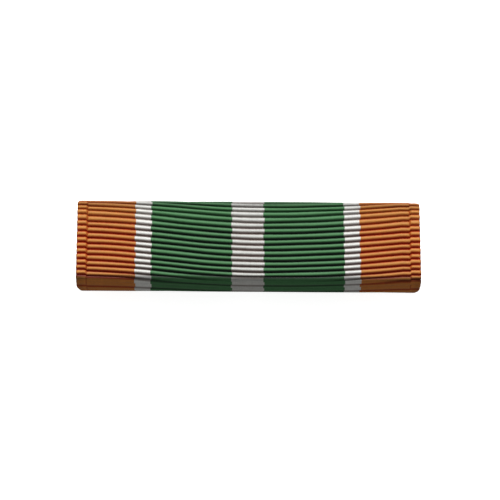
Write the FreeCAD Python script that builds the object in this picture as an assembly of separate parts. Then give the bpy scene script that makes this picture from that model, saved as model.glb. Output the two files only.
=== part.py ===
"""Single service ribbon on a pin-backed mounting bar.

The striped ribbon is wrapped round a folded brass carrier, which slides endways on to the
mounting bar. A brooch hinge, a pin and a roll-over safety catch are brazed to the back of the bar.

Millimetres. The bar lies on its back: +Z comes out of the ribbon's front, +X runs along its
length and +Y towards its upper long edge. z = 0 is the surface that the hinge and catch rest on.
"""

import FreeCAD, Part
import os

# ---- ribbon and its wrap -------------------------------------------------------------------
bar_length = 34.925            # 1 3/8 in
bar_height = 9.525             # 3/8 in
ribbon_thickness = 0.45
fold_radius = 0.7              # outside of the ribbon where it turns over a long edge
end_overhang = 0.5             # ribbon past each end of the carrier
tape_thickness = 0.1
tape_margin = 0.4              # tape short of a fold

# ---- folded brass carrier ------------------------------------------------------------------
carrier_sheet = 0.35
carrier_bend = 0.45            # outside radius of its folds
carrier_inner_bend = 0.1
channel_gap = 1.1              # between the plate and the return lips
lip_width = 1.6                # return lip, measured from the carrier's side

# ---- mounting bar --------------------------------------------------------------------------
rail_thickness = 0.8
rail_gap_under = 0.05          # rail to lips
rail_gap_side = 0.1            # rail to each side of the channel
rail_corner = 1.0              # rounded lead-in at the loading end
grip_gap = 0.05                # top of a grip dimple to the plate
grip_base_radius = 1.0
grip_spacing = 14.0
stop_thickness = 0.35
stop_width = 4.0
stop_gap = 0.03
stop_below_ribbon = 0.15

# ---- hinge ---------------------------------------------------------------------------------
finding_height = 3.0           # from the resting surface to the back of the bar
pivot_height = 1.4             # hinge, pin and catch share this height
hinge_x = -12.0
base_thickness = 0.4
bracket_length = 3.0
bracket_base = (4.0, 2.8)      # along the bar, across it
ear_thickness = 0.4
ear_corner = 0.9
ear_gap = 0.1                  # eye to each ear
bracket_back_gap = 0.15        # eye to the back wall
bracket_back_low = 0.7         # lowest point of the back wall, which stops the open pin
rivet_radius = 0.45
rivet_head_radius = 0.75
rivet_head_height = 0.28
eye_clearance = 0.04           # radial, on the rivet

# ---- pin -----------------------------------------------------------------------------------
pin_radius = 0.4
eye_radius = 1.0
eye_thickness = 1.0
neck_start = 0.7               # from the hinge axis to where the neck leaves the eye
neck_end = 2.1                 # from the hinge axis to the plain shank
neck_radius = 0.5
shank_end_x = 8.6
pin_tip_x = 13.4
pin_tip_radius = 0.05

# ---- safety catch --------------------------------------------------------------------------
catch_x = 10.2                 # hinge side of the housing
catch_length = 2.0
catch_width = 3.2
catch_corner = 0.7
catch_base_width = 4.4
catch_slot = 0.8               # the way in for the pin, in housing and roller alike
roller_radius = 1.1
roller_clearance = 0.03        # radial, in the housing
roller_bore_radius = 0.45
flange_radius = 1.3
flange_thickness = 0.35
flange_gap = 0.05              # flange to housing
tab_reach = 2.3                # from the roller's axis to the end of its thumb tab
tab_width = 0.8

# ---- heights and places that follow --------------------------------------------------------
bar_back = finding_height
bar_front = bar_back + rail_thickness
lip_top = bar_back - rail_gap_under
lip_bottom = lip_top - carrier_sheet
plate_bottom = lip_top + channel_gap
plate_top = plate_bottom + carrier_sheet
ribbon_back = lip_bottom - tape_thickness - ribbon_thickness
ribbon_front = plate_top + tape_thickness + ribbon_thickness
carrier_width = bar_height - 2 * ribbon_thickness
carrier_length = bar_length - 2 * end_overhang
opening_width = carrier_width - 2 * lip_width
rail_width = carrier_width - 2 * carrier_sheet - 2 * rail_gap_side
ear_inner = eye_thickness / 2 + ear_gap
ear_outer = ear_inner + ear_thickness
base_low = bar_back - base_thickness
past_everything = 60.0         # a cut that must run right through


def box(x, y, z):
    """A box between two values on each axis."""
    return Part.makeBox(x[1] - x[0], y[1] - y[0], z[1] - z[0], FreeCAD.Vector(x[0], y[0], z[0]))


def cylinder(radius, start, end):
    """A cylinder from one point to another."""
    start, end = FreeCAD.Vector(*start), FreeCAD.Vector(*end)
    return Part.makeCylinder(radius, (end - start).Length, start, end - start)


def edges_along(shape, axis):
    """The straight edges of a shape that run along one axis, such as (1, 0, 0)."""
    direction = FreeCAD.Vector(*axis)
    straight = [e for e in shape.Edges if e.Curve.TypeId == "Part::GeomLine"]
    return [e for e in straight if abs(e.Curve.Direction.dot(direction)) > 0.999]


def long_bar(length, width, low, high, radius):
    """A bar along X, centred across the object, with its four long edges rounded."""
    bar = box((-length / 2, length / 2), (-width / 2, width / 2), (low, high))
    return bar.makeFillet(radius, edges_along(bar, (1, 0, 0)))


def back_opening():
    """The slot along the back, between the lips and between the ribbon's laps."""
    half = opening_width / 2
    return box((-past_everything, past_everything), (-half, half), (0, plate_bottom - channel_gap / 2))


def ribbon():
    """The woven strip: front, both long edges and a lap behind each lip."""
    outside = long_bar(bar_length, bar_height, ribbon_back, ribbon_front, fold_radius)
    inside = long_bar(
        past_everything,
        carrier_width,
        ribbon_back + ribbon_thickness,
        ribbon_front - ribbon_thickness,
        fold_radius - ribbon_thickness,
    )
    return outside.cut(inside).cut(back_opening())


def front_tape():
    """Adhesive tape between the carrier's plate and the ribbon's front."""
    half = carrier_width / 2 - tape_margin
    return box((-carrier_length / 2, carrier_length / 2), (-half, half), (plate_top, plate_top + tape_thickness))


def lap_tape(side):
    """Adhesive tape between one lip and the lap of ribbon behind it."""
    across = sorted((side * (opening_width / 2 + tape_thickness), side * (carrier_width / 2 - tape_margin)))
    return box((-carrier_length / 2, carrier_length / 2), across, (lip_bottom - tape_thickness, lip_bottom))


def carrier():
    """The folded brass channel that carries the ribbon and slides on the bar."""
    outside = long_bar(carrier_length, carrier_width, lip_bottom, plate_top, carrier_bend)
    inside = long_bar(
        past_everything,
        carrier_width - 2 * carrier_sheet,
        lip_top,
        plate_bottom,
        carrier_inner_bend,
    )
    return outside.cut(inside).cut(back_opening())


def grip_dimple(x):
    """A pressed dimple: the cap that stands up from the bar, and the dent behind it."""
    height = plate_bottom - grip_gap - bar_front
    sphere_radius = (grip_base_radius**2 + height**2) / (2 * height)
    drop = sphere_radius - height
    cap = Part.makeSphere(sphere_radius, FreeCAD.Vector(x, 0, bar_front - drop))
    cap = cap.common(box((x - 2, x + 2), (-2, 2), (bar_front - rail_thickness / 2, bar_front + height)))
    dent = Part.makeSphere(sphere_radius, FreeCAD.Vector(x, 0, bar_back - drop))
    return cap, dent


def mount_bar():
    """The strip that the carrier slides on, with an end stop, two grip dimples and a lead-in."""
    stop_face = -carrier_length / 2 - stop_gap
    stop_end = stop_face - stop_thickness
    half = rail_width / 2
    bar = box((stop_end, carrier_length / 2), (-half, half), (bar_back, bar_front))
    lead_in = [e for e in edges_along(bar, (0, 0, 1)) if e.CenterOfMass.x > 0]
    bar = bar.makeFillet(rail_corner, lead_in)
    stop_top = ribbon_front - ribbon_thickness - stop_below_ribbon
    bar = bar.fuse(box((stop_end, stop_face), (-stop_width / 2, stop_width / 2), (bar_back, stop_top)))
    for x in (-grip_spacing / 2, grip_spacing / 2):
        cap, dent = grip_dimple(x)
        bar = bar.fuse(cap).cut(dent.common(box((x - 2, x + 2), (-2, 2), (bar_back, bar_front))))
    return bar.removeSplitter()


def hinge_bracket():
    """The brooch hinge: a base, two ears and a back wall that stops the opened pin."""
    front, back = hinge_x + bracket_length / 2, hinge_x - bracket_length / 2
    body = box((back, front), (-ear_outer, ear_outer), (0, base_low))
    low_corners = [e for e in edges_along(body, (0, 1, 0)) if e.CenterOfMass.z < ear_corner]
    body = body.makeFillet(ear_corner, low_corners)
    wall_face = hinge_x - eye_radius - bracket_back_gap
    body = body.cut(box((wall_face, past_everything), (-ear_inner, ear_inner), (-1, base_low)))
    body = body.cut(box((back - 1, wall_face), (-ear_inner, ear_inner), (-1, bracket_back_low)))
    length, width = bracket_base
    base = box((hinge_x - length / 2, hinge_x + length / 2), (-width / 2, width / 2), (base_low, bar_back))
    body = body.fuse(base)
    return body.cut(cylinder(rivet_radius, (hinge_x, -2, pivot_height), (hinge_x, 2, pivot_height))).removeSplitter()


def hinge_rivet():
    """The rivet through both ears, with a low domed head outside each."""
    rivet = cylinder(rivet_radius, (hinge_x, -ear_outer, pivot_height), (hinge_x, ear_outer, pivot_height))
    dome_radius = (rivet_head_radius**2 + rivet_head_height**2) / (2 * rivet_head_height)
    for side in (-1, 1):
        centre = side * (ear_outer + rivet_head_height - dome_radius)
        dome = Part.makeSphere(dome_radius, FreeCAD.Vector(hinge_x, centre, pivot_height))
        across = sorted((side * ear_outer, side * (ear_outer + dome_radius)))
        keep = box((hinge_x - 2, hinge_x + 2), across, (pivot_height - 2, pivot_height + 2))
        rivet = rivet.fuse(dome.common(keep))
    return rivet.removeSplitter()


def cone(radius_start, radius_end, x_start, x_end):
    """A cone along X at the pin's height."""
    start = FreeCAD.Vector(x_start, 0, pivot_height)
    return Part.makeCone(radius_start, radius_end, x_end - x_start, start, FreeCAD.Vector(1, 0, 0))


def pin_stem():
    """The hardened pin: a flat-sided eye, a neck, a plain shank and a long point."""
    neck_x, shank_x = hinge_x + neck_start, hinge_x + neck_end
    half = eye_thickness / 2
    eye = cylinder(eye_radius, (hinge_x, -half, pivot_height), (hinge_x, half, pivot_height))
    neck = cone(neck_radius, pin_radius, neck_x, shank_x)
    shank = cylinder(pin_radius, (shank_x, 0, pivot_height), (shank_end_x, 0, pivot_height))
    point = cone(pin_radius, pin_tip_radius, shank_end_x, pin_tip_x)
    stem = eye.fuse([neck, shank, point])
    hole = cylinder(rivet_radius + eye_clearance, (hinge_x, -2, pivot_height), (hinge_x, 2, pivot_height))
    return stem.cut(hole).removeSplitter()


def catch_housing():
    """The catch's body: a bored block, slotted towards the back for the pin, on a brazed base."""
    ends = (catch_x, catch_x + catch_length)
    half = catch_width / 2
    body = box(ends, (-half, half), (0, base_low))
    low_corners = [e for e in edges_along(body, (1, 0, 0)) if e.CenterOfMass.z < catch_corner]
    body = body.makeFillet(catch_corner, low_corners)
    base = box(ends, (-catch_base_width / 2, catch_base_width / 2), (base_low, bar_back))
    bore = cylinder(roller_radius + roller_clearance, (ends[0] - 1, 0, pivot_height), (ends[1] + 1, 0, pivot_height))
    slot = box((ends[0] - 1, ends[1] + 1), (-catch_slot / 2, catch_slot / 2), (-1, pivot_height))
    return body.fuse(base).cut(bore).cut(slot).removeSplitter()


def catch_roller():
    """The roll-over lock: a slotted roller between two flanges, with a thumb tab on the near one."""
    low, high = catch_x - flange_gap, catch_x + catch_length + flange_gap
    ends = (low - flange_thickness, high + flange_thickness)
    roller = cylinder(roller_radius, (ends[0], 0, pivot_height), (ends[1], 0, pivot_height))
    for x in (ends[0], high):
        flange = cylinder(flange_radius, (x, 0, pivot_height), (x + flange_thickness, 0, pivot_height))
        roller = roller.fuse(flange)
    tab_end = tab_reach - tab_width / 2
    low_z, high_z = pivot_height - tab_width / 2, pivot_height + tab_width / 2
    tab = box((ends[0], low), (-tab_end, -roller_bore_radius), (low_z, high_z))
    round_end = cylinder(tab_width / 2, (ends[0], -tab_end, pivot_height), (low, -tab_end, pivot_height))
    bore = cylinder(roller_bore_radius, (ends[0] - 1, 0, pivot_height), (ends[1] + 1, 0, pivot_height))
    slot = box((ends[0] - 1, ends[1] + 1), (-catch_slot / 2, catch_slot / 2), (-1, pivot_height))
    return roller.fuse([tab, round_end]).cut(bore).cut(slot).removeSplitter()


parts = {
    "ribbon": ribbon(),
    "front_tape": front_tape(),
    "upper_lap_tape": lap_tape(1),
    "lower_lap_tape": lap_tape(-1),
    "carrier": carrier(),
    "mount_bar": mount_bar(),
    "hinge_bracket": hinge_bracket(),
    "hinge_rivet": hinge_rivet(),
    "pin_stem": pin_stem(),
    "catch_housing": catch_housing(),
    "catch_roller": catch_roller(),
}

os.makedirs("parts", exist_ok=True)
for name, shape in parts.items():
    shape.exportStep(f"parts/{name}.step")
    bounds = shape.BoundBox
    print(
        f"{name:16s} solids {len(shape.Solids)} valid {shape.isValid()} volume {shape.Volume:8.3f}"
        f"  x {bounds.XMin:.2f} {bounds.XMax:.2f}  y {bounds.YMin:.2f} {bounds.YMax:.2f}"
        f"  z {bounds.ZMin:.2f} {bounds.ZMax:.2f}"
    )
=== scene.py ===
"""A single service ribbon on its pin-backed bar: the woven ribbon and the finish of every metal fitting.

Laid out as an add-on. Metres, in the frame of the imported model: the bar lies on its back, +X runs along
it, +Y towards its upper long edge and +Z out of the ribbon's front.
"""

import math

import bpy
import numpy as np
from bpy.props import FloatProperty, FloatVectorProperty, IntProperty, PointerProperty
from mathutils import Matrix, Vector


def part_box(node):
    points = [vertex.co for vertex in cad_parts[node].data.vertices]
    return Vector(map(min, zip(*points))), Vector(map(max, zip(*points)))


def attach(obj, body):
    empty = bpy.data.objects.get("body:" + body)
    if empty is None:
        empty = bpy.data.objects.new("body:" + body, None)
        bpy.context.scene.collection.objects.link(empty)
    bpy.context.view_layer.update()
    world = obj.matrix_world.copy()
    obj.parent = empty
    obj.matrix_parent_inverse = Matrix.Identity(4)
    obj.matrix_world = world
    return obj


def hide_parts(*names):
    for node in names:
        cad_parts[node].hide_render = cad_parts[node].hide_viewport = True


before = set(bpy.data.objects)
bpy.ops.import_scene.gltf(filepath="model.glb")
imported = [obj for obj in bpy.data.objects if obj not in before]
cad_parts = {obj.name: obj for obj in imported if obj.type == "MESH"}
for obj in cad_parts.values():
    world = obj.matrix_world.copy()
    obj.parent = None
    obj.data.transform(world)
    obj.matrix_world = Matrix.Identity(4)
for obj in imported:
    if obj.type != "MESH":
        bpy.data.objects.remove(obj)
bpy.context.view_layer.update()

bl_info = {
    "name": "Service ribbon bar",
    "version": (1, 0, 0),
    "blender": (4, 5, 0),
    "location": "View3D > Sidebar > Ribbon bar",
    "description": "Weaves the striped ribbon round its carrier and finishes the metal fittings",
    "category": "Object",
}

MM = 0.001
FLATNESS = 0.001 * MM  # how level a flat top is taken to be
RIBBON_LOW, RIBBON_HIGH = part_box("ribbon")
RIBBON_THICKNESS = RIBBON_HIGH.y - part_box("carrier")[1].y


def corners(node):
    """Every vertex of a CAD node, one row each."""
    return np.array([v.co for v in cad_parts[node].data.vertices])


def flat_reach(node):
    """How far from the middle the flat top of a node reaches, across the bar."""
    points = corners(node)
    top = points[points[:, 2] > points[:, 2].max() - FLATNESS]
    return float(np.abs(top[:, 1]).max())


FRONT_REACH = flat_reach("ribbon")
LAP_REACH = float(np.abs(corners("ribbon")[:, 1]).min())


# ---- settings ------------------------------------------------------------------------------


class RibbonSettings(bpy.types.PropertyGroup):
    """Sizes and colours of the woven ribbon."""

    rib_count: IntProperty(
        name="Ribs", description="Ribs from one cut end of the ribbon to the other", default=28, min=4
    )
    rib_depth: FloatProperty(
        name="Rib depth", description="Crest of a rib to the gap beside it", default=0.27 * MM, unit="LENGTH"
    )
    middle_stripe: FloatProperty(
        name="Middle stripe", description="Width of the white stripe in the middle",
        default=3.26 * MM, unit="LENGTH",
    )
    green_stripe: FloatProperty(
        name="Green stripes", description="Width of each green stripe", default=8.18 * MM, unit="LENGTH"
    )
    edge_stripe: FloatProperty(
        name="Narrow stripes", description="Width of each narrow white stripe",
        default=1.62 * MM, unit="LENGTH",
    )
    stripe_shift: FloatProperty(
        name="Stripe shift", description="How far the stripes sit to the left of the bar's middle",
        default=0.085 * MM, unit="LENGTH",
    )
    stripe_step: FloatProperty(
        name="Stripe step",
        description="How far a stripe's border steps sideways from one rib to the next",
        default=0.11 * MM,
        unit="LENGTH",
    )
    selvage_width: FloatProperty(
        name="Selvage", description="Width of the woven edge", default=1.02 * MM, unit="LENGTH"
    )
    selvage_shift: FloatProperty(
        name="Selvage shift", description="How far a rib steps up in the selvage",
        default=0.18 * MM, unit="LENGTH",
    )
    bow_low: FloatProperty(
        name="Lowest point", description="Where the bowed ribs are lowest, along the bar",
        default=1.2 * MM, unit="LENGTH",
    )
    bow_left: FloatProperty(
        name="Rise to the left", description="Rise of a rib from its lowest point to its left end",
        default=1.36 * MM, unit="LENGTH",
    )
    bow_right: FloatProperty(
        name="Rise to the right", description="Rise of a rib at its right end, if it did not level off",
        default=1.19 * MM, unit="LENGTH",
    )
    bow_drop: FloatProperty(
        name="Bow drop", description="How far the lowest point of a bowed rib hangs below a straight one",
        default=0.56 * MM, unit="LENGTH",
    )
    crowd_top: FloatProperty(
        name="Crowding above", description="How far the ribs close up towards the upper fold",
        default=0.32 * MM, unit="LENGTH",
    )
    crowd_bottom: FloatProperty(
        name="Crowding below", description="How far the ribs close up towards the lower fold",
        default=0.14 * MM, unit="LENGTH",
    )
    orange: FloatVectorProperty(
        name="Orange", description="Crests of the orange ribs", subtype="COLOR", default=(0.53, 0.23, 0.048)
    )
    # Painted shade: the dark colour of the gaps between orange ribs, with a painted reddish inter-reflection.
    orange_gap_shade: FloatVectorProperty(
        name="Orange gap", description="Gaps between the orange ribs", subtype="COLOR",
        default=(0.3, 0.018, 0.0),
    )
    green: FloatVectorProperty(
        name="Green", description="Crests of the green ribs", subtype="COLOR", default=(0.068, 0.215, 0.08)
    )
    # Painted shade: the dark colour of the gaps between green ribs.
    green_gap_shade: FloatVectorProperty(
        name="Green gap", description="Gaps between the green ribs", subtype="COLOR",
        default=(0.001, 0.01, 0.003),
    )
    white: FloatVectorProperty(
        name="White", description="Crests of the white ribs", subtype="COLOR", default=(0.8, 0.81, 0.77)
    )
    middle_white: FloatVectorProperty(
        name="Middle white", description="Crests of the middle stripe's ribs", subtype="COLOR",
        default=(0.63, 0.645, 0.61),
    )
    # Painted shade: the dark colour of the gaps between white ribs.
    white_gap_shade: FloatVectorProperty(
        name="White gap", description="Gaps between the white ribs", subtype="COLOR",
        default=(0.2, 0.155, 0.145),
    )


class MetalSettings(bpy.types.PropertyGroup):
    """Colours of the metal fittings and the tape."""

    brass: FloatVectorProperty(
        name="Brass", description="Rolled brass of the carrier", subtype="COLOR", default=(0.73, 0.5, 0.2)
    )
    nickel: FloatVectorProperty(
        name="Nickel", description="Satin plating of the bar, hinge and catch", subtype="COLOR",
        default=(0.58, 0.555, 0.51),
    )
    bright_nickel: FloatVectorProperty(
        name="Bright nickel", description="Polished plating of pin, rivet and roller", subtype="COLOR",
        default=(0.64, 0.63, 0.61),
    )
    tape: FloatVectorProperty(
        name="Tape", description="Adhesive tape under the ribbon", subtype="COLOR", default=(0.62, 0.56, 0.4)
    )


class StageSettings(bpy.types.PropertyGroup):
    """Floor, light and camera."""

    floor_size: FloatProperty(name="Floor", description="Side of the floor", default=4.0, unit="LENGTH")
    floor_colour: FloatVectorProperty(
        name="Floor colour", description="Pale floor", subtype="COLOR", default=(0.93, 0.93, 0.93)
    )
    light_height: FloatProperty(
        name="Light height", description="Height of the main soft light", default=0.6, unit="LENGTH"
    )
    light_tilt: FloatProperty(
        name="Light tilt", description="Lean of the main soft light towards the bar's upper long edge",
        default=math.radians(46), unit="ROTATION",
    )
    light_size: FloatProperty(
        name="Light size", description="Side of the main soft light", default=0.13, unit="LENGTH"
    )
    light_power: FloatProperty(
        name="Light power", description="Main light, in watts", default=4.65, unit="POWER"
    )
    card_power: FloatProperty(
        name="Card power", description="The dim cards that the metal mirrors, in watts for each square metre",
        default=4.0,
    )
    camera_azimuth: FloatProperty(
        name="Camera azimuth", description="Turn of the camera about the bar",
        default=math.radians(-1.5), unit="ROTATION",
    )
    camera_elevation: FloatProperty(
        name="Camera elevation", description="Camera above the floor",
        default=math.radians(60.5), unit="ROTATION",
    )
    camera_distance: FloatProperty(
        name="Camera distance", description="Camera to the middle of the bar", default=0.4, unit="LENGTH"
    )
    camera_roll: FloatProperty(
        name="Camera roll", description="Turn of the picture", default=math.radians(1.7), unit="ROTATION"
    )
    camera_lens: FloatProperty(name="Lens", description="Focal length in millimetres", default=282.6)


# ---- shader maths --------------------------------------------------------------------------


class Value:
    """A number that varies over a surface. Python arithmetic on it adds Math nodes."""

    def __init__(self, shader, socket):
        self.shader, self.socket = shader, socket

    def __add__(self, other):
        return self.shader.maths("ADD", self, other)

    __radd__ = __add__

    def __sub__(self, other):
        return self.shader.maths("SUBTRACT", self, other)

    def __rsub__(self, other):
        return self.shader.maths("SUBTRACT", other, self)

    def __mul__(self, other):
        return self.shader.maths("MULTIPLY", self, other)

    __rmul__ = __mul__

    def __truediv__(self, other):
        return self.shader.maths("DIVIDE", self, other)

    def __neg__(self):
        return self.shader.maths("SUBTRACT", 0.0, self)

    def __abs__(self):
        return self.shader.maths("ABSOLUTE", self)


class Nodes:
    """The nodes of a material or of the room, made one at a time."""

    def __init__(self, tree):
        self.tree = tree

    def feed(self, socket, value):
        """Gives a socket a number, a colour or a link."""
        if isinstance(value, Value):
            self.tree.links.new(value.socket, socket)
        else:
            socket.default_value = value

    def node(self, kind, settings, inputs, output=0):
        """A node of a type, with its settings set first and then its sockets' values or links."""
        made = self.tree.nodes.new(kind)
        for setting, value in settings.items():
            setattr(made, setting, value)
        for socket, value in inputs.items():
            self.feed(made.inputs[socket], value)
        return Value(self, made.outputs[output])

    def maths(self, operation, *values):
        return self.node("ShaderNodeMath", {"operation": operation}, dict(enumerate(values)))

    def ramp(self, value, low, high):
        """0 below low, 1 above high and smooth between."""
        settings = {"interpolation_type": "SMOOTHSTEP", "clamp": True}
        return self.node("ShaderNodeMapRange", settings, {"Value": value, "From Min": low, "From Max": high})

    def mix(self, factor, first, second, blend="MIX"):
        """Two colours mixed. Sockets 6 and 7 of a Mix node are its colours, and output 2 its colour."""
        settings = {"data_type": "RGBA", "blend_type": blend}
        return self.node("ShaderNodeMix", settings, {0: factor, 6: first, 7: second}, output=2)

    def axis(self, vector, name):
        return self.node("ShaderNodeSeparateXYZ", {}, {"Vector": vector}, output=name)

    def point(self, x, y, z):
        return self.node("ShaderNodeCombineXYZ", {}, {"X": x, "Y": y, "Z": z})

    def noise(self, vector, scale, detail=2.0):
        return self.node("ShaderNodeTexNoise", {}, {"Vector": vector, "Scale": scale, "Detail": detail})

    def object_point(self):
        return self.node("ShaderNodeTexCoord", {}, {}, output="Object")

    def stretched(self, vector, scale):
        return self.node("ShaderNodeVectorMath", {"operation": "MULTIPLY"}, {0: vector, 1: scale})

    def bump(self, height, distance):
        return self.node("ShaderNodeBump", {}, {"Height": height, "Distance": distance, "Strength": 1.0})


class Shader(Nodes):
    """A material under construction."""

    def __init__(self, name, metallic=0.0, **constants):
        self.material = bpy.data.materials.new(name)
        self.material.use_nodes = True
        super().__init__(self.material.node_tree)
        self.surface = next(n for n in self.tree.nodes if n.type == "BSDF_PRINCIPLED")
        self.surface.inputs["Metallic"].default_value = metallic
        for socket, value in constants.items():
            self.surface.inputs[socket.replace("_", " ")].default_value = value

    def finish(self, **varying):
        """Links what varies over the surface to the shader and returns the material."""
        for socket, value in varying.items():
            self.feed(self.surface.inputs[socket.replace("_", " ")], value)
        return self.material


def opaque(colour):
    return (*colour, 1.0)


def wear(material, *nodes):
    """Puts a material on CAD nodes."""
    for name in nodes:
        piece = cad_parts[name]
        for slot in piece.material_slots:
            slot.material = material


# ---- the ribbon ----------------------------------------------------------------------------

# The ribbon's outside path, from the middle of the front to a cut end: front, fold, side, fold and lap.
FOLD_RADIUS = RIBBON_HIGH.y - FRONT_REACH
SIDE_RUN = RIBBON_HIGH.z - RIBBON_LOW.z - 2 * FOLD_RADIUS
LAP_RUN = FRONT_REACH - LAP_REACH
QUARTER = FOLD_RADIUS * math.pi / 2
STATIONS = np.cumsum([0, FRONT_REACH, QUARTER, SIDE_RUN, QUARTER, LAP_RUN])
FRONT_END, SIDE_START, SIDE_END, LAP_START, WRAP_END = STATIONS[1:]
WRAP_LENGTH = 2 * WRAP_END

ROWS_PER_RIB = 10
ROWS_PER_INNER_ROW = 5
ROUNDED_COLUMNS, SELVAGE_COLUMNS, MIDDLE_COLUMNS = 6, 18, 162
SELVAGE_MARGIN = 0.25 * MM  # how far in from the selvage the close columns start
EDGE_ROUNDING = 0.2 * MM  # radius of the rounded woven edges
SHARP_ANGLE = math.radians(70)

BOW_LEVEL_FROM = 0.885  # share of the right half past which the ribs run level
BOW_POWER = 1.93
BOW_FADE_START = 1.1 * MM  # past the front's folds, where the bow starts to fade
WOBBLE = 0.012 * MM
WOBBLE_SCALES = (1.1 * MM, 2.3 * MM, 5.1 * MM)  # along the bar, for each radian of a wave
CROWDED_ABOVE = (3.0 * MM, 4.8 * MM)  # from the middle of the front
CROWDED_BELOW = (2.4 * MM, 5.4 * MM)

GROOVE_DEPTH = 0.16 * MM
LINKED_GROOVE_CUT = 0.11 * MM  # off that depth, where a selvage loop links two ribs
GROOVE_WIDTH = 0.08 * MM
SAG = 0.06 * MM
SAG_WIDTH = 0.6 * MM
PRESSED_SHARE = 0.65  # share of the rib depth that is lost past the lower fold

CORNER_START = 1.15 * MM  # before the far end of the side, where the ribbon's corner starts to round off
CORNER_RUN = 1.6 * MM
CORNER_DEPTH = 0.7 * MM
FOLD_DRAW, LAP_DRAW = 0.02 * MM, 0.05 * MM
SCALLOP = 0.04 * MM
PULL_POWER = 8


def wrapped(distance, depth):
    """Where a point of the ribbon is, across the bar and up, from its distance along the ribbon.

    The distance runs from the middle of the front. The path goes straight to the fold, turns through a
    quarter circle, runs down the side, turns through another quarter circle and runs back along the lap:
    across = front run + radius * sin(turn) - lap run, up = top - radius * (1 - cos(turn)) - side run.
    Depth is measured inwards from the outside, along the normal (sin(turn), cos(turn)).
    """
    gone = np.abs(distance)
    turn = np.interp(gone, STATIONS, np.radians([0, 0, 90, 90, 180, 180]))
    front = np.minimum(gone, FRONT_END)
    side = np.clip(gone - SIDE_START, 0, SIDE_RUN)
    lap = np.clip(gone - LAP_START, 0, LAP_RUN)
    across = front + (FOLD_RADIUS - depth) * np.sin(turn) - lap
    up = RIBBON_HIGH.z - FOLD_RADIUS + (FOLD_RADIUS - depth) * np.cos(turn) - side
    return np.sign(distance) * across, up


def smooth_step(value, low, high):
    """0 below low, 1 above high and t * t * (3 - 2 * t) between."""
    t = np.clip((value - low) / (high - low), 0, 1)
    return t * t * (3 - 2 * t)


def near_end(edge, reach):
    """0 further than reach from the ribbon's end, 1 at the end and smooth between."""
    return smooth_step(-edge, -reach, 0)


def bell(value, centre, width):
    """e to the power of minus the square of (value - centre) / width."""
    return np.exp(-(((value - centre) / width) ** 2))


def bow(x, settings):
    """How far a rib rises above its lowest point.

    With t from 0 at the lowest point to 1 at the ribbon's end, it rises to the left as
    (1 - cos(pi * t)) / 2, and to the right as a power of t, which stops growing a little before the end.
    """
    left = np.clip((settings.bow_low - x) / (settings.bow_low - RIBBON_LOW.x), 0, 1)
    right = np.clip((x - settings.bow_low) / (RIBBON_HIGH.x - settings.bow_low), 0, BOW_LEVEL_FROM)
    return settings.bow_left * (1 - np.cos(math.pi * left)) / 2 + settings.bow_right * right**BOW_POWER


def column_places(settings):
    """Places of the grid's columns along the bar: close together in the selvages, wider apart between."""
    end, selvage = RIBBON_HIGH.x, RIBBON_HIGH.x - settings.selvage_width - SELVAGE_MARGIN
    rounded = end - EDGE_ROUNDING * (1 - np.sin(np.linspace(0, math.pi / 2, ROUNDED_COLUMNS)))
    woven_edge = np.linspace(selvage, end - EDGE_ROUNDING, SELVAGE_COLUMNS)[:-1]
    half = np.concatenate([woven_edge, rounded])
    middle = np.linspace(-selvage, selvage, MIDDLE_COLUMNS)[1:-1]
    return np.concatenate([-half[::-1], middle, half])


def rib_rows(settings):
    """Each row's rib, the arch of its section, and the ribs passed before it, as columns.

    With t from 0 to 1 across a rib, the arch is sin(pi * t) and the ribs passed are the rib's number
    + (1 - cos(pi * t)) / 2, so a rib's rows are at equal angles.
    """
    rib = np.arange(settings.rib_count * ROWS_PER_RIB + 1)[:, None] / ROWS_PER_RIB
    index = np.minimum(np.floor(rib), settings.rib_count - 1)
    part = rib - index
    return index, np.sin(math.pi * part), index + (1 - np.cos(math.pi * part)) / 2


def rib_lines(settings, x, edge, share):
    """Distance of every point along the ribbon, from the middle of the front.

    Evenly spaced ribs, less the bow's drop, plus the bow, a step up in the selvage and a wobble, which is
    the sum of three sines with seeded phases. Towards the front's two folds the ribs close up by a smooth
    step. All of this but the even spacing fades out in proportion, from past the folds to the cut ends.
    """
    plain = share * (WRAP_LENGTH / settings.rib_count) - WRAP_LENGTH / 2
    rng = np.random.default_rng(7)
    waves = rng.uniform(0, 2 * math.pi, (3, settings.rib_count + 1))
    nearest = np.round(share).astype(int)
    wobble = sum(np.sin(x / scale + waves[k][nearest]) for k, scale in enumerate(WOBBLE_SCALES))

    selvage = settings.selvage_width
    in_selvage = smooth_step(-edge, -selvage - 0.09 * MM, -selvage + 0.05 * MM)
    fade_run = WRAP_LENGTH / 2 - FRONT_REACH - BOW_FADE_START
    fade = np.clip((WRAP_LENGTH / 2 - np.abs(plain)) / fade_run, 0, 1)
    rise = bow(x, settings) + settings.selvage_shift * in_selvage + WOBBLE * wobble
    distance = plain - fade * settings.bow_drop + fade * rise
    above = settings.crowd_top * smooth_step(distance, *CROWDED_ABOVE)
    below = settings.crowd_bottom * smooth_step(-distance, *CROWDED_BELOW)
    return distance + fade * (below - above)


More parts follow.
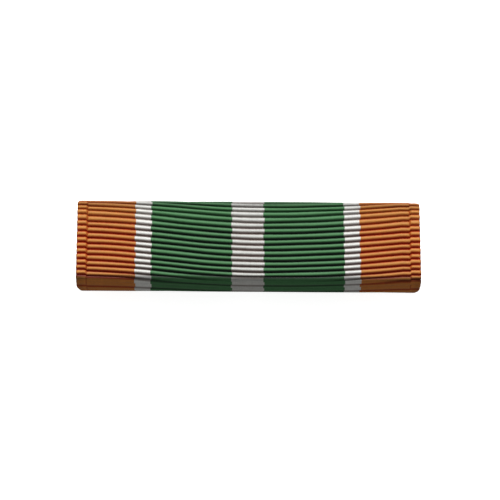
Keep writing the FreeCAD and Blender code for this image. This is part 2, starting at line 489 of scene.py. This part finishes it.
def rib_depths(settings, x, edge, distance, index, arch):
    """How far every point lies below the surface that the crests touch.

    The sum of four: the rib's section, rib depth * (1 - arch), shallower at the ribbon's ends and pressed
    flatter past the lower fold; the selvage's groove, a narrow bell curve on the front, less deep on every
    second rib to the right; the rounding of the woven edge, a quarter circle; and the sag of the edge over
    each fold, a bell curve along the ribbon.
    """
    gone = np.abs(distance)
    linked = np.mod(index, 2) * (x > 0)
    on_front = 1 - smooth_step(gone, FRONT_END - 0.5 * MM, FRONT_END + 0.2 * MM)
    groove = bell(edge, settings.selvage_width, GROOVE_WIDTH) * arch
    groove = groove * (GROOVE_DEPTH - LINKED_GROOVE_CUT * linked) * on_front
    into_edge = np.clip(EDGE_ROUNDING - edge, 0, EDGE_ROUNDING)
    rounding = EDGE_ROUNDING - np.sqrt(EDGE_ROUNDING**2 - into_edge**2)
    sag = SAG * bell(gone, (FRONT_END + SIDE_START) / 2, SAG_WIDTH) * near_end(edge, 0.5 * MM)
    shallow = 1 - 0.5 * near_end(edge, 0.35 * MM)
    pressed = 1 - PRESSED_SHARE * smooth_step(-distance, FRONT_END + 0.05 * MM, FRONT_END + 0.45 * MM)
    return settings.rib_depth * shallow * pressed * (1 - arch) + groove + rounding + sag


def drawn_along(x, edge, distance, index, arch):
    """Place of every point along the bar, with the ribbon's ends drawn in and scalloped.

    The ends are drawn in a little at the folds and along the laps. Where the corner rounds off they are
    drawn in by corner depth * (1 - sqrt(1 - r * r)), with r from 0 to 1 along the corner. This pull falls off
    from the end as the eighth power of the share of the half length. Each rib's loop swells the woven edge
    by its arch, and every second one by more.
    """
    gone = np.abs(distance)
    corner = np.clip((gone - SIDE_END + CORNER_START) / CORNER_RUN, 0, 1)
    drawn_in = FOLD_DRAW * smooth_step(gone, FRONT_END - 0.3 * MM, SIDE_START)
    drawn_in = drawn_in + CORNER_DEPTH * (1 - np.sqrt(1 - corner**2))
    drawn_in = drawn_in + LAP_DRAW * smooth_step(gone, LAP_START, WRAP_END)
    scallop = SCALLOP * (arch - 0.5 + 0.5 * np.mod(index, 2)) * near_end(edge, 0.45 * MM)
    pull = (np.abs(x) / RIBBON_HIGH.x) ** PULL_POWER
    return x - np.sign(x) * (drawn_in * pull - scallop)


def weave_mesh(settings):
    """One closed mesh: the ribbed outside, the plain inside, and the rims that join them.

    The outside has one row per step along the ribbon and one column per place along the bar.
    """
    x = column_places(settings)[None, :]
    edge = RIBBON_HIGH.x - np.abs(x)
    index, arch, share = rib_rows(settings)
    distance = rib_lines(settings, x, edge, share)
    along = drawn_along(x, edge, distance, index, arch)
    across, up = wrapped(distance, rib_depths(settings, x, edge, distance, index, arch))
    outside = np.stack([along, across, up], -1)
    inner = slice(None, None, ROWS_PER_INNER_ROW)
    across, up = wrapped(distance[inner], np.full(distance[inner].shape, RIBBON_THICKNESS))
    inside = np.stack([along[inner], across, up], -1)

    rows, columns = distance.shape
    outer_id = np.arange(rows * columns).reshape(rows, columns)
    inner_id = outer_id.size + np.arange(inside.shape[0] * columns).reshape(-1, columns)

    def quads(a, b, c, d):
        return np.stack([a, b, c, d], -1).reshape(-1, 4).tolist()

    faces = quads(outer_id[:-1, :-1], outer_id[:-1, 1:], outer_id[1:, 1:], outer_id[1:, :-1])
    faces += quads(inner_id[:-1, :-1], inner_id[1:, :-1], inner_id[1:, 1:], inner_id[:-1, 1:])
    faces += quads(outer_id[0, :-1], inner_id[0, :-1], inner_id[0, 1:], outer_id[0, 1:])
    faces += quads(outer_id[-1, 1:], inner_id[-1, 1:], inner_id[-1, :-1], outer_id[-1, :-1])
    for column, turn in ((0, 1), (-1, -1)):
        rim = outer_id[:, column]
        runs = rim[:-1].reshape(-1, ROWS_PER_INNER_ROW)
        ends = inner_id[:, column]
        sides = np.column_stack([runs, rim[ROWS_PER_INNER_ROW::ROWS_PER_INNER_ROW], ends[1:], ends[:-1]])
        faces += sides[:, ::turn].tolist()

    points = np.concatenate([outside.reshape(-1, 3), inside.reshape(-1, 3)])
    mesh = bpy.data.meshes.new("woven_ribbon")
    mesh.from_pydata(points, [], faces)
    place = np.broadcast_to(x, distance.shape) / (RIBBON_HIGH.x * 2) + 0.5
    weave = np.stack([place, np.broadcast_to(share, place.shape) / settings.rib_count], -1)
    weave = np.concatenate([weave.reshape(-1, 2), weave[inner].reshape(-1, 2)])
    vertex_of = np.zeros(len(mesh.loops), int)
    mesh.loops.foreach_get("vertex_index", vertex_of)
    mesh.uv_layers.new(name="weave").data.foreach_set("uv", weave[vertex_of].ravel())
    mesh.shade_smooth()
    mesh.set_sharp_from_angle(angle=SHARP_ANGLE)
    mesh.validate()
    return mesh


# The cloth's patterns below are in millimetres: x along the bar, across it, and edge, in from its ends.
HALF_WIDTH = RIBBON_HIGH.x / MM
FOLD_AT = FRONT_REACH / MM
BORDER_SOFTNESS = 0.035
BORDER_WANDER = 0.12
YARN_PITCH = 0.13


def stripe_painter(cloth, settings, x, row, parity):
    """A function that lays four colours out as stripes, by the distance from the middle.

    The stripes sit a little to one side. Their borders step sideways from rib to rib and wander with noise.
    """
    wander = (cloth.noise(cloth.point(x * 0.5, row * 3.7, 0.0), 1.0) - 0.5) * BORDER_WANDER
    step = (parity - 0.5) * (settings.stripe_step / MM)
    stepped = abs(x + settings.stripe_shift / MM + step + wander)
    widths = (settings.middle_stripe / 2, settings.green_stripe, settings.edge_stripe)
    past_middle, past_green, past_white = (
        cloth.ramp(stepped, border - BORDER_SOFTNESS, border + BORDER_SOFTNESS)
        for border in (np.cumsum(widths) / MM).tolist()
    )

    def striped(middle_white, white, green, orange):
        inner = cloth.mix(past_middle, opaque(middle_white), opaque(green))
        outer = cloth.mix(past_green, inner, opaque(white))
        return cloth.mix(past_white, outer, opaque(orange))

    return striped


def gap_shade_share(cloth, settings, x, rib, parity, across, edge, sides, shaded_top_fold):
    """How far a point's colour is from the crest's towards the gap's painted shade, 0 to 1.

    It rises from the crest of a rib to its gap, less near the upper fold and on the two sides, where only
    every second gap stays dark. It is never less than the painted shade on the selvage's seam, the woven rim,
    the sides and the upper fold.
    """
    selvage = settings.selvage_width / MM
    every_second = cloth.maths("MODULO", cloth.maths("FLOOR", rib + 1.5), 2.0)
    top_fold = cloth.ramp(across, 0.5, FOLD_AT)
    # Less painted shade between ribs near the upper fold and on the sides, where every second gap keeps most
    # of it.
    contrast = (1.0 - top_fold * 0.35) * (1.0 - sides * (0.75 - every_second * 0.55))
    off_crest = abs(cloth.maths("FRACT", rib) * 2.0 - 1.0)
    between_ribs = cloth.ramp(off_crest, 0.06, 0.72) * contrast
    linked = cloth.maths("GREATER_THAN", x, 0.0) * parity
    # Painted shade in the selvage's seam groove and along the rounded woven rim.
    seam = (1.0 - cloth.ramp(abs(edge - selvage), 0.02, 0.14)) * (0.7 - linked * 0.55)
    rim = (1.0 - cloth.ramp(edge, 0.0, 0.16)) * 0.4
    # The sides and the upper fold keep at least some of the painted gap shade.
    least = cloth.maths("MAXIMUM", cloth.maths("MAXIMUM", seam, rim), sides * 0.35 + shaded_top_fold * 0.2)
    return cloth.maths("MAXIMUM", between_ribs, least)


def painted_shade(cloth, down, edge, in_gap, shaded_top_fold):
    """Painted shade: what is left of the light, less in the upper fold, low down in the gaps, at the lower
    corners and in the crease below the front.
    """
    low_gaps = in_gap * cloth.ramp(down, 2.0, FOLD_AT)
    low_ends = cloth.ramp(down, FOLD_AT, FOLD_AT + 0.3) * (1.0 - cloth.ramp(edge, 0.3, 1.1))
    past_crease = cloth.ramp(down, FOLD_AT + 0.45, FOLD_AT + 0.62)
    crease = cloth.ramp(down, FOLD_AT, FOLD_AT + 0.25) * (1.0 - past_crease)
    # Painted shade, multiplied into the colour.
    return (1.0 - shaded_top_fold * 0.3) * (1.0 - low_gaps * 0.3) * (1.0 - low_ends * 0.2) * (1.0 - crease * 0.5)


def ribbon_material(settings):
    """Striped ribbed cloth.

    Each rib has its stripes' pale colours on its crest and their dark ones, painted shade, in the gap.
    Streaks along the ribs and fine warp yarns across them break up the colour and the surface. The selvage
    gets a slight painted highlight, the two sides painted light and some painted shade, and painted shade
    darkens the upper fold, the gaps low down, the crease and the lower corners.
    """
    cloth = Shader("ribbed_cloth", Sheen_Weight=0.02, Sheen_Roughness=0.4, Specular_IOR_Level=0.16)
    weave = cloth.node("ShaderNodeUVMap", {"uv_map": "weave"}, {})
    x = (cloth.axis(weave, "X") - 0.5) * (HALF_WIDTH * 2)
    rib = cloth.axis(weave, "Y") * settings.rib_count
    row = cloth.maths("FLOOR", rib)
    parity = cloth.maths("MODULO", row, 2.0)
    edge = HALF_WIDTH - abs(x)
    across = cloth.axis(cloth.object_point(), "Y") / MM
    # The two sides, which get painted light and some painted shade.
    sides = cloth.ramp(abs(across), FOLD_AT + 0.2, FOLD_AT + 0.6)
    # Painted shade over the upper fold: darker, with some gap colour mixed in.
    shaded_top_fold = cloth.ramp(across, FOLD_AT - 0.5, FOLD_AT + 0.1)

    striped = stripe_painter(cloth, settings, x, row, parity)
    crest = striped(settings.middle_white, settings.white, settings.green, settings.orange)
    # The gap colours are painted shade.
    gap = striped(settings.white_gap_shade, settings.white_gap_shade, settings.green_gap_shade, settings.orange_gap_shade)
    in_gap = gap_shade_share(cloth, settings, x, rib, parity, across, edge, sides, shaded_top_fold)

    streak = cloth.noise(cloth.point(x * 1.3, rib * 2.2, 3.1), 1.0, 3.0)
    yarn = cloth.noise(cloth.point(x * 9.0, rib * 1.1, 7.7), 1.0, 2.0)
    # Painted highlight: the selvage is lightened by a tenth.
    selvage = 1.0 - cloth.ramp(edge, settings.selvage_width / MM - 0.1, settings.selvage_width / MM)
    threads = (0.72 + streak * 0.3 + yarn * 0.26) * (1.0 + selvage * 0.1)
    shade = threads * painted_shade(cloth, -across, edge, in_gap, shaded_top_fold)
    # Painted light: the two sides lifted brighter than the front.
    lift_red, lift = shade * (1.0 + sides * 0.26), shade * (1.0 + sides * 0.27)
    thread_tone_with_painted_light = cloth.point(lift_red, lift, lift)
    colour = cloth.mix(1.0, cloth.mix(in_gap, crest, gap), thread_tone_with_painted_light, "MULTIPLY")

    warp = cloth.maths("SINE", x * (2 * math.pi / YARN_PITCH))
    height = (warp * 0.5 + yarn * 1.2) * (1.0 - in_gap)
    return cloth.finish(
        Base_Color=colour,
        Roughness=0.46 + streak * 0.16,
        Normal=cloth.bump(height, 0.006 * MM),
    )


class RIBBONBAR_OT_weave_ribbon(bpy.types.Operator):
    """Weave the striped ribbon round the carrier"""

    bl_idname = "ribbonbar.weave_ribbon"
    bl_label = "Weave ribbon"

    def execute(self, context):
        settings = context.scene.ribbon_settings
        piece = bpy.data.objects.new("woven_ribbon", weave_mesh(settings))
        context.collection.objects.link(piece)
        piece.data.materials.append(ribbon_material(settings))
        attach(piece, "ribbon_unit")
        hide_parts("ribbon")
        return {"FINISHED"}


# ---- metal and tape ------------------------------------------------------------------------


def rolled_brass(settings):
    """Sheet brass: rolling marks along the bar, faint tarnish in patches."""
    metal = Shader("rolled_brass", metallic=1.0)
    place = metal.object_point()
    rolling = metal.noise(metal.stretched(place, (90.0, 6000.0, 6000.0)), 1.0, 3.0)
    tarnish = metal.ramp(metal.noise(place, 420.0, 4.0), 0.42, 0.72)
    dull = tuple(c * k for c, k in zip(settings.brass, (0.62, 0.52, 0.5)))
    return metal.finish(
        Base_Color=metal.mix(tarnish * 0.55, opaque(settings.brass), opaque(dull)),
        Roughness=0.16 + rolling * 0.12 + tarnish * 0.12,
        Normal=metal.bump(rolling, 0.004 * MM),
    )


def satin_nickel(settings):
    """Satin nickel plating: short brushed lines along the bar and a few warmer rubbed patches."""
    metal = Shader("satin_nickel", metallic=1.0)
    place = metal.object_point()
    brushed = metal.noise(metal.stretched(place, (350.0, 9000.0, 9000.0)), 1.0, 3.0)
    rubbed = metal.ramp(metal.noise(place, 520.0, 3.0), 0.55, 0.75)
    warm = tuple(c * k for c, k in zip(settings.nickel, (0.95, 0.88, 0.74)))
    return metal.finish(
        Base_Color=metal.mix(rubbed * 0.6, opaque(settings.nickel), opaque(warm)),
        Roughness=0.05 + brushed * 0.05,
        Normal=metal.bump(brushed, 0.0008 * MM),
    )


def polished_nickel(settings):
    """Bright nickel plating: nearly smooth, with fine handling scratches."""
    metal = Shader("polished_nickel", metallic=1.0)
    place = metal.object_point()
    scratches = metal.ramp(metal.noise(metal.stretched(place, (700.0, 5000.0, 2600.0)), 1.0, 5.0), 0.62, 0.7)
    cloud = metal.noise(place, 700.0, 3.0)
    hazy = tuple(c * 0.86 for c in settings.bright_nickel)
    return metal.finish(
        Base_Color=metal.mix(cloud * 0.5, opaque(settings.bright_nickel), opaque(hazy)),
        Roughness=0.08 + cloud * 0.1 + scratches * 0.15,
        Normal=metal.bump(scratches, 0.001 * MM),
    )


def cloudy_tape(settings):
    """Yellowed adhesive tape: cloudy, with small trapped bubbles."""
    tape = Shader("cloudy_tape", Roughness=0.45)
    place = tape.object_point()
    cloud = tape.noise(place, 600.0, 4.0)
    bubbles = tape.ramp(tape.noise(place, 2600.0, 2.0), 0.6, 0.72)
    pale = tuple(min(1.0, c * 1.3) for c in settings.tape)
    return tape.finish(
        Base_Color=tape.mix(cloud, opaque(settings.tape), opaque(pale)),
        Roughness=0.4 + bubbles * 0.3,
        Normal=tape.bump(bubbles, 0.01 * MM),
    )


class RIBBONBAR_OT_finish_carrier(bpy.types.Operator):
    """Give the folded carrier its rolled brass"""

    bl_idname = "ribbonbar.finish_carrier"
    bl_label = "Finish carrier"

    def execute(self, context):
        wear(rolled_brass(context.scene.metal_settings), "carrier")
        return {"FINISHED"}


class RIBBONBAR_OT_finish_tapes(bpy.types.Operator):
    """Give the adhesive tapes their cloudy finish"""

    bl_idname = "ribbonbar.finish_tapes"
    bl_label = "Finish tapes"

    def execute(self, context):
        wear(cloudy_tape(context.scene.metal_settings), "front_tape", "upper_lap_tape", "lower_lap_tape")
        return {"FINISHED"}


class RIBBONBAR_OT_finish_mount(bpy.types.Operator):
    """Plate the bar, the hinge bracket and the catch housing"""

    bl_idname = "ribbonbar.finish_mount"
    bl_label = "Finish mount"

    def execute(self, context):
        wear(satin_nickel(context.scene.metal_settings), "mount_bar", "hinge_bracket", "catch_housing")
        return {"FINISHED"}


class RIBBONBAR_OT_finish_pin(bpy.types.Operator):
    """Polish the pin, its rivet and the catch roller"""

    bl_idname = "ribbonbar.finish_pin"
    bl_label = "Finish pin"

    def execute(self, context):
        wear(polished_nickel(context.scene.metal_settings), "pin_stem", "hinge_rivet", "catch_roller")
        return {"FINISHED"}


# ---- stage ---------------------------------------------------------------------------------

ROOM_LIGHT = 0.2  # on everything
MIRRORED_LIGHT = 0.4  # added overhead, in what a surface mirrors
SEEN_LIGHT = 0.75  # added to what the camera sees behind the floor
AIM_OFFSET = Vector((0.156 * MM, -0.4 * MM, 0))
# Dim cards for the metal to mirror: side, place from the middle of the bar, size and share of the card power.
CARDS = (
    ("left", (-0.3, -0.06, 0.07), 0.2, 0.5),
    ("right", (0.3, 0.02, 0.07), 0.2, 0.5),
    ("front", (0.05, -0.3, 0.2), 0.1, 1.0),
)


def pale_floor(settings):
    """A flat pale floor under the bar."""
    half = settings.floor_size / 2
    mesh = bpy.data.meshes.new("pale_floor")
    square = [(-half, -half, 0), (half, -half, 0), (half, half, 0), (-half, half, 0)]
    mesh.from_pydata(square, [], [(0, 1, 2, 3)])
    floor = bpy.data.objects.new("pale_floor", mesh)
    surface = Shader("pale_floor", Roughness=0.9, Emission_Color=(1, 1, 1, 1), Emission_Strength=0.85)
    mesh.materials.append(surface.finish(Base_Color=opaque(settings.floor_colour)))
    return floor


def soft_light(name, place, aim, size, power):
    """A square soft light at a place, facing a point."""
    lamp = bpy.data.lights.new(name, "AREA")
    lamp.shape, lamp.size, lamp.energy = "SQUARE", size, power
    light = bpy.data.objects.new(name, lamp)
    light.location = place
    light.rotation_euler = (Vector(aim) - Vector(place)).to_track_quat("-Z", "Y").to_euler()
    return light


def room(scene):
    """Light all round: even and dim, brighter overhead in what metal mirrors, and pale to the camera."""
    world = bpy.data.worlds.new("room")
    scene.world = world
    world.use_nodes = True
    nodes = Nodes(world.node_tree)
    background = next(n for n in nodes.tree.nodes if n.type == "BACKGROUND")
    background.inputs["Color"].default_value = (1, 1, 1, 1)
    overhead = nodes.ramp(nodes.axis(nodes.object_point(), "Z"), -0.3, 0.7)
    mirrored = nodes.node("ShaderNodeLightPath", {}, {}, output="Is Glossy Ray")
    seen = nodes.node("ShaderNodeLightPath", {}, {}, output="Is Camera Ray")
    strength = mirrored * overhead * MIRRORED_LIGHT + seen * SEEN_LIGHT + ROOM_LIGHT
    nodes.feed(background.inputs["Strength"], strength)


def camera(settings):
    """The camera, placed by azimuth, elevation and distance from the middle of the bar, then rolled."""
    azimuth, elevation = settings.camera_azimuth, settings.camera_elevation
    back = Vector((
        math.sin(azimuth) * math.cos(elevation),
        -math.cos(azimuth) * math.cos(elevation),
        math.sin(elevation),
    ))
    aim = (RIBBON_LOW + RIBBON_HIGH) / 2 + AIM_OFFSET
    lens = bpy.data.cameras.new("camera")
    lens.lens = settings.camera_lens
    lens.clip_start, lens.clip_end = 0.01, 20
    seen = bpy.data.objects.new("camera", lens)
    turn = (-back).to_track_quat("-Z", "Y").to_matrix() @ Matrix.Rotation(settings.camera_roll, 3, "Z")
    seen.matrix_world = Matrix.Translation(aim + back * settings.camera_distance) @ turn.to_4x4()
    return seen


class RIBBONBAR_OT_set_stage(bpy.types.Operator):
    """Lay the floor and place the lights and the camera"""

    bl_idname = "ribbonbar.set_stage"
    bl_label = "Set stage"

    def execute(self, context):
        scene, settings = context.scene, context.scene.stage_settings
        floor = pale_floor(settings)
        middle = (RIBBON_LOW + RIBBON_HIGH) / 2
        lean = settings.light_tilt
        main_place = Vector((0, math.sin(lean), math.cos(lean))) * settings.light_height
        main = soft_light("main_light", main_place, middle, settings.light_size, settings.light_power)
        seen = camera(settings)
        cards = []
        for side, place, size, share in CARDS:
            power = size**2 * share * settings.card_power
            cards.append(soft_light(f"card_{side}", middle + Vector(place), middle, size, power))
        for made in (floor, main, *cards, seen):
            context.collection.objects.link(made)
        floor.visible_diffuse = False
        floor.visible_glossy = False
        room(scene)
        scene.camera = seen
        scene.view_settings.view_transform = "Standard"
        return {"FINISHED"}


# ---- panel and registration ----------------------------------------------------------------

OPERATORS = (
    RIBBONBAR_OT_set_stage,
    RIBBONBAR_OT_weave_ribbon,
    RIBBONBAR_OT_finish_carrier,
    RIBBONBAR_OT_finish_tapes,
    RIBBONBAR_OT_finish_mount,
    RIBBONBAR_OT_finish_pin,
)
SETTINGS = {
    "ribbon_settings": RibbonSettings,
    "metal_settings": MetalSettings,
    "stage_settings": StageSettings,
}


class RIBBONBAR_PT_panel(bpy.types.Panel):
    """The operators and their settings, in the 3D view's sidebar"""

    bl_label = "Ribbon bar"
    bl_space_type = "VIEW_3D"
    bl_region_type = "UI"
    bl_category = "Ribbon bar"

    def draw(self, context):
        for operator in OPERATORS:
            self.layout.operator(operator.bl_idname)
        for name, group in SETTINGS.items():
            box = self.layout.box()
            for setting in group.__annotations__:
                box.prop(getattr(context.scene, name), setting)


CLASSES = (*SETTINGS.values(), *OPERATORS, RIBBONBAR_PT_panel)


def register():
    for made in CLASSES:
        bpy.utils.register_class(made)
    for name, group in SETTINGS.items():
        setattr(bpy.types.Scene, name, PointerProperty(type=group))


def unregister():
    for name in SETTINGS:
        delattr(bpy.types.Scene, name)
    for made in reversed(CLASSES):
        bpy.utils.unregister_class(made)


def main():
    register()
    bpy.ops.ribbonbar.set_stage()
    bpy.ops.ribbonbar.weave_ribbon()
    bpy.ops.ribbonbar.finish_carrier()
    bpy.ops.ribbonbar.finish_tapes()
    bpy.ops.ribbonbar.finish_mount()
    bpy.ops.ribbonbar.finish_pin()
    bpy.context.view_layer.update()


if __name__ == "__main__":
    main()
